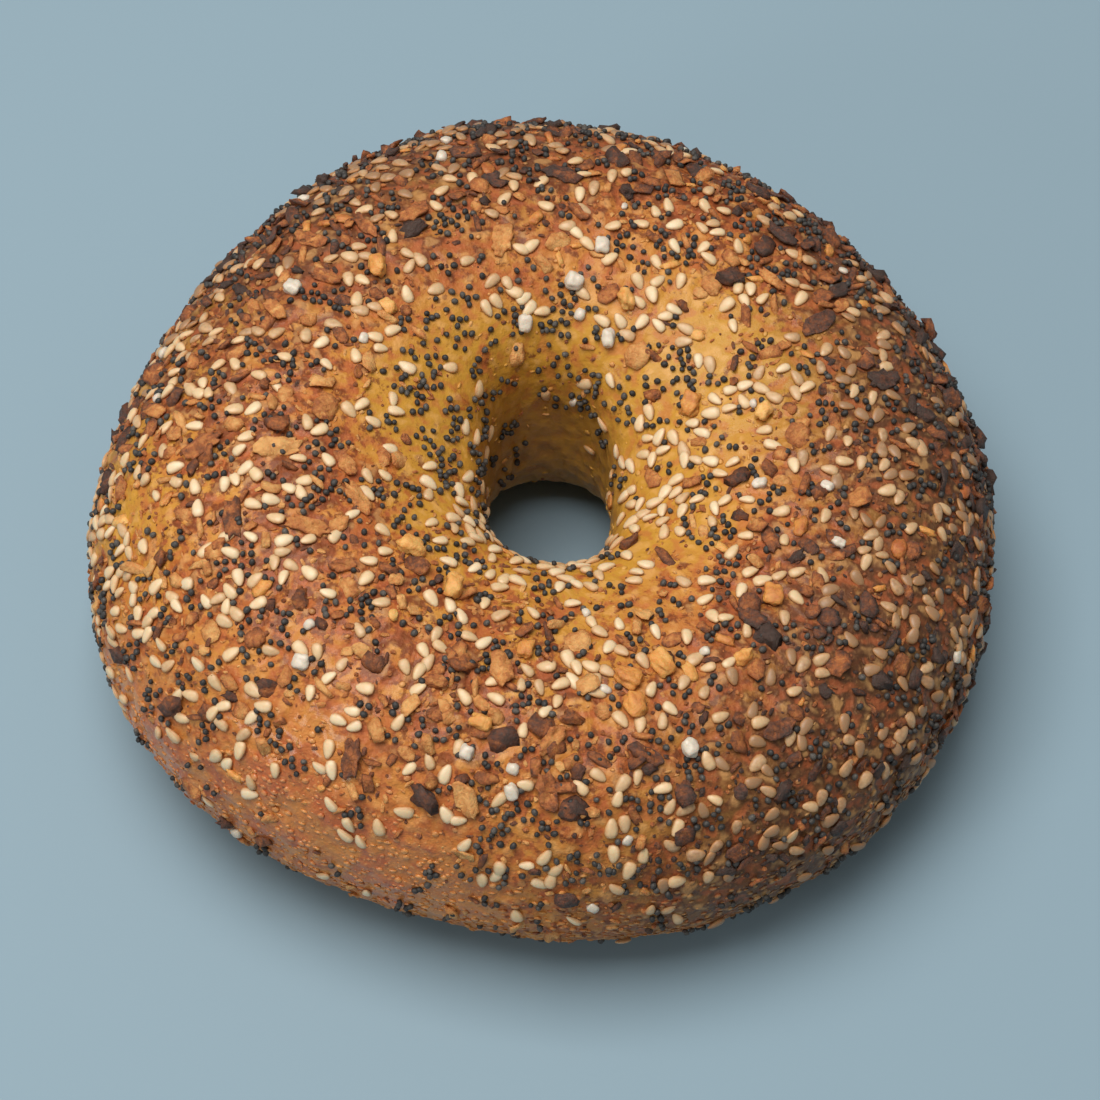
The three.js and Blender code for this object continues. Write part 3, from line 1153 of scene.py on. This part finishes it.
class BAGEL_OT_onion(bpy.types.Operator):
    """Lay the toasted onion: the large flakes of the frame, then smaller chips between them"""

    bl_idname = "bagel.onion"
    bl_label = "Lay Onion"

    def execute(self, context):
        settings = context.scene.bagel_toppings
        material = onion_material()
        flakes = {"drop": 0.4 * MM, "seed": 300, "darkest": 0.76}
        settle_nodes("onion_flakes", "onion", "onion_flake", onion_flake, material, **flakes)
        shapes = [
            chip_mesh("chip_broad", (1, 0.72, 0.17), curl=0.2, seed=1),
            chip_mesh("chip_long", (1, 0.44, 0.2), curl=0.3, seed=2),
            chip_mesh("chip_strip", (1, 0.26, 0.18), curl=0.16, seed=3),
            chip_mesh("chip_cupped", (1, 0.6, 0.16), curl=0.5, seed=4, crumple=0.2),
            chip_mesh("chip_flat", (1, 0.84, 0.16), curl=0.05, seed=5, crumple=0.16),
            chip_mesh("chip_torn", (1, 0.56, 0.2), curl=0.1, seed=6, crumple=0.24, corners=8),
        ]
        density = settings.flake_density
        length = settings.flake_length
        chips = {
            "Density": density, "Spacing": 1.7 * MM, "Clearance": 0.3 * MM,
            "Clumping": 0.8, "Clump Size": 11 * MM,
            "Share In Funnel": 0.12, "Pull To Toasted": 0.45,
            "Smallest": length * 0.34, "Largest": length * 1.3,
            "Tilt": math.radians(28), "Lift": 0.16 * MM,
            "Darkest": 0.68, "Seed": 11,
        }
        lay_over_crust("onion_chips", shapes, chips, material)
        heaps = {
            "Density": density * 0.3, "Clearance": 0.0,
            "Clumping": 0.5, "Pull To Toasted": 1.0,
            "Smallest": length * 0.5, "Largest": length * 1.25,
            "Tilt": math.radians(36), "Lift": 0.5 * MM,
            "Darkest": 0.6, "Seed": 13,
        }
        lay_over_crust("onion_heaps", shapes, {**chips, **heaps}, material)
        lump = {"splits": 2, "squareness": 2.4, "knock": 0.16, "lump": 0.8}
        broken = {"splits": 2, "squareness": 2.8, "knock": 0.2, "lump": 1.0}
        shapes = [
            chunk_mesh("char_lump", (1, 0.8, 0.5), 31, **lump),
            chunk_mesh("char_long", (1, 0.5, 0.4), 32, **lump),
            chunk_mesh("char_broken", (1, 0.7, 0.4), 36, **broken),
        ]
        char = {
            "Density": density * 0.16, "Spacing": 2.8 * MM, "Clumping": 0.7,
            "Smallest": length * 0.4, "Largest": length * 1.1,
            "Palest": 0.64, "Darkest": 0.98, "Seed": 17,
        }
        lay_over_crust("onion_char", shapes, {**chips, **char}, material)
        return {"FINISHED"}


class BAGEL_OT_garlic(bpy.types.Operator):
    """Lay the dried garlic: the frame's large bits, then smaller ones"""

    bl_idname = "bagel.garlic"
    bl_label = "Lay Garlic"

    def execute(self, context):
        settings = context.scene.bagel_toppings
        material = garlic_material()
        maker = partial(chunk_mesh, splits=3, squareness=3.0, knock=0.08)
        bits = {"drop": 0.5 * MM, "seed": 500}
        settle_nodes("garlic_bits", "garlic", "garlic_bit", maker, material, **bits)
        block = {"splits": 2, "squareness": 3.4}
        shapes = [
            chunk_mesh("bit_square", (1, 0.76, 0.36), 2, **block, knock=0.16),
            chunk_mesh("bit_long", (1, 0.46, 0.3), 7, **block, knock=0.16),
            chunk_mesh("bit_flat", (1, 0.7, 0.22), 13, **block, knock=0.18),
        ]
        values = {
            "Density": settings.garlic_density, "Spacing": 2.4 * MM, "Clearance": 0.5 * MM,
            "Clumping": 0.5, "Clump Size": 12 * MM, "Clump Start": 0.45,
            "Share In Funnel": 0.3,
            "Smallest": 1.0 * MM, "Largest": 2.7 * MM,
            "Tilt": math.radians(15), "Lift": 0.15 * MM,
            "Seed": 23,
        }
        lay_over_crust("garlic_crumbs", shapes, values, material)
        return {"FINISHED"}


class BAGEL_OT_salt(bpy.types.Operator):
    """Lay the coarse salt: the frame's crystals, then a few more"""

    bl_idname = "bagel.salt"
    bl_label = "Lay Salt"

    def execute(self, context):
        settings = context.scene.bagel_toppings
        material = salt_material()
        maker = partial(chunk_mesh, splits=3, squareness=3.2, knock=0.03, lump=0.3)
        crystals = {"drop": 0.5 * MM, "seed": 700}
        settle_nodes("salt_crystals", "salt", "salt_crystal", maker, material, **crystals)
        block = {"splits": 2, "knock": 0.06, "lump": 0.3}
        shapes = [
            chunk_mesh("crystal_block", (1, 0.85, 0.6), 1, **block, squareness=3.2),
            chunk_mesh("crystal_long", (1, 0.62, 0.5), 2, **block, squareness=3.2),
            chunk_mesh("crystal_flat", (1, 0.8, 0.42), 3, **block, squareness=3.6),
        ]
        values = {
            "Density": settings.salt_density, "Spacing": 4 * MM, "Clearance": 0.6 * MM,
            "Share In Funnel": 0.6,
            "Smallest": 1.1 * MM, "Largest": 1.9 * MM,
            "Tilt": math.radians(18), "Lift": 0.25 * MM,
            "Seed": 31,
        }
        lay_over_crust("salt_grains", shapes, values, material)
        return {"FINISHED"}


class BAGEL_OT_sesame(bpy.types.Operator):
    """Lay the sesame seeds flat on the crust, in loose clumps"""

    bl_idname = "bagel.sesame"
    bl_label = "Lay Sesame"

    def execute(self, context):
        settings = context.scene.bagel_toppings
        shapes = [
            sesame_shape("sesame_plump", plumpness=0.78, bend=0),
            sesame_shape("sesame_slim", plumpness=0.68, bend=0.12),
            sesame_shape("sesame_bent", plumpness=0.74, bend=-0.16),
        ]
        length = settings.sesame_length
        values = {
            "Density": settings.sesame_density, "Spacing": length * 0.6, "Clearance": length * 0.2,
            "Clumping": 0.5, "Clump Size": 8 * MM,
            "Share": 0.66, "Share In Funnel": 0.28, "Heap": 1.0,
            "Smallest": length * 0.86, "Largest": length * 1.1,
            "Tilt": math.radians(11), "Lift": 0.25 * MM,
            "Seed": 47,
        }
        lay_over_crust("sesame_seeds", shapes, values, sesame_material())
        return {"FINISHED"}


class BAGEL_OT_poppy(bpy.types.Operator):
    """Lay the poppy seeds in tight clusters and short lines"""

    bl_idname = "bagel.poppy"
    bl_label = "Lay Poppy"

    def execute(self, context):
        settings = context.scene.bagel_toppings
        shapes = [poppy_shape("poppy_round", 0.15), poppy_shape("poppy_bent", 0.3)]
        length = settings.poppy_length
        values = {
            "Density": settings.poppy_density, "Spacing": length * 0.88, "Clearance": length * 0.25,
            "Clumping": 0.76, "Clump Size": 8 * MM,
            "Share In Funnel": 1.0, "Pull To Toasted": 0.3, "On Bare Skin": 0.11,
            "Cluster Most": 9, "Cluster Reach": length * 1.35,
            "Smallest": length * 0.8, "Largest": length * 1.08,
            "Tilt": math.radians(60), "Lift": length * 0.28,
            "Seed": 59,
        }
        lay_over_crust("poppy_seeds", shapes, values, poppy_material())
        return {"FINISHED"}


class BAGEL_OT_crumbs(bpy.types.Operator):
    """Lay the onion crumbs that fill the gaps"""

    bl_idname = "bagel.crumbs"
    bl_label = "Lay Crumbs"

    def execute(self, context):
        settings = context.scene.bagel_toppings
        shapes = [
            chunk_mesh("crumb_broad", (1, 0.7, 0.4), 21),
            chunk_mesh("crumb_long", (1, 0.45, 0.35), 22),
            chunk_mesh("crumb_square", (0.7, 0.6, 0.5), 23),
        ]
        length = settings.crumb_length
        values = {
            "Density": settings.crumb_density, "Spacing": 0.6 * MM, "Clearance": 0.15 * MM,
            "Clumping": 0.6, "Clump Size": 7 * MM,
            "Share In Funnel": 0.25, "Pull To Toasted": 0.2,
            "Smallest": length * 0.35, "Largest": length * 1.5,
            "Tilt": math.radians(25), "Lift": 0.06 * MM,
            "Palest": 0.1, "Darkest": 0.85, "Seed": 71,
        }
        material = bpy.data.materials["toasted_onion"]
        lay_over_crust("onion_crumbs", shapes, values, material)
        return {"FINISHED"}


class BAGEL_OT_stage(bpy.types.Operator):
    """Set the floor, the soft lights and the camera"""

    bl_idname = "bagel.stage"
    bl_label = "Set Stage"

    def execute(self, context):
        settings = context.scene.bagel_stage
        set_floor(settings)
        set_lights(settings)
        set_camera(settings)
        return {"FINISHED"}


def set_floor(settings):
    """A plain pale floor, wide enough for every view."""
    half = 3.0
    corners = [(-half, -half, 0), (half, -half, 0), (half, half, 0), (-half, half, 0)]
    mesh = bpy.data.meshes.new("floor")
    mesh.from_pydata(corners, [], [(0, 1, 2, 3)])
    floor = bpy.data.objects.new("floor", mesh)
    bpy.context.scene.collection.objects.link(floor)
    material, _ = new_material("pale_floor")
    mesh.materials.append(finish(material, Base_Color=settings.floor_colour, Roughness=0.75))


def area_light(name, size, power, tint, position):
    """A soft square light aimed at the bagel."""
    light = bpy.data.lights.new(name, "AREA")
    light.size = size
    light.energy = power
    light.color = tint
    lamp = bpy.data.objects.new(name, light)
    lamp.location = position
    aim = RING_MIDDLE - Vector(position)
    lamp.rotation_euler = aim.to_track_quat("-Z", "Y").to_euler()
    bpy.context.scene.collection.objects.link(lamp)


def set_lights(settings):
    """A large soft key nearly overhead, a weak fill from the near left, and pale light all round."""
    key = settings.key_power
    fill = key * 0.12
    area_light("key_light", size=0.56, power=key, tint=(1.0, 0.97, 0.93), position=(-0.16, 0.01, 0.85))
    area_light("fill_light", size=0.2, power=fill, tint=(1.0, 0.98, 0.95), position=(-0.6, -0.5, 0.4))
    world = bpy.data.worlds.new("pale_room")
    world.use_nodes = True
    background = world.node_tree.nodes["Background"].inputs
    feed(background["Color"], colour(214, 219, 218))
    feed(background["Strength"], settings.room_strength)
    bpy.context.scene.world = world
    bpy.context.scene.view_settings.view_transform = "Standard"


# The camera's aim and the place it stands back from, measured from the ring's middle and the floor.
AIM_ASIDE = 0.75 * MM
AIM_NEARER = 4.3 * MM
AIM_HEIGHT = 18 * MM
STAND_NEARER = 1.3 * MM
STAND_HEIGHT = 20 * MM


def set_camera(settings):
    """Looks down on the bagel from the front."""
    aim = Vector((RING_MIDDLE.x + AIM_ASIDE, RING_MIDDLE.y - AIM_NEARER, AIM_HEIGHT))
    stand = Vector((aim.x, RING_MIDDLE.y - STAND_NEARER, STAND_HEIGHT))
    elevation = settings.camera_elevation
    direction = Vector((0, -math.cos(elevation), math.sin(elevation)))
    camera = bpy.data.cameras.new("camera")
    camera.lens = settings.lens
    camera.sensor_width = 36
    view = bpy.data.objects.new("camera", camera)
    view.location = stand + direction * settings.camera_distance
    view.rotation_euler = (aim - view.location).to_track_quat("-Z", "Y").to_euler()
    bpy.context.scene.collection.objects.link(view)
    bpy.context.scene.camera = view


class BAGEL_PT_panel(bpy.types.Panel):
    """The bagel's settings and steps"""

    bl_idname = "BAGEL_PT_panel"
    bl_label = "Everything Bagel"
    bl_space_type = "VIEW_3D"
    bl_region_type = "UI"
    bl_category = "Bagel"

    def draw(self, context):
        layout = self.layout
        for group in (context.scene.bagel_crust, context.scene.bagel_toppings, context.scene.bagel_stage):
            box = layout.box()
            for name in group.__annotations__:
                box.prop(group, name)
        for step in STEPS:
            layout.operator(step.bl_idname)


STEPS = (
    BAGEL_OT_stage,
    BAGEL_OT_crust,
    BAGEL_OT_blisters,
    BAGEL_OT_onion,
    BAGEL_OT_garlic,
    BAGEL_OT_salt,
    BAGEL_OT_sesame,
    BAGEL_OT_poppy,
    BAGEL_OT_crumbs,
)
GROUPS = {
    "bagel_crust": CrustSettings,
    "bagel_toppings": ToppingSettings,
    "bagel_stage": StageSettings,
}
CLASSES = (*GROUPS.values(), *STEPS, BAGEL_PT_panel)


def register():
    for cls in CLASSES:
        bpy.utils.register_class(cls)
    for name, group in GROUPS.items():
        setattr(bpy.types.Scene, name, bpy.props.PointerProperty(type=group))


def unregister():
    for name in GROUPS:
        delattr(bpy.types.Scene, name)
    for cls in reversed(CLASSES):
        bpy.utils.unregister_class(cls)


def main():
    register()
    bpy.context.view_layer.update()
    for step in STEPS:
        group, name = step.bl_idname.split(".")
        getattr(getattr(bpy.ops, group), name)()


if __name__ == "__main__":
    main()
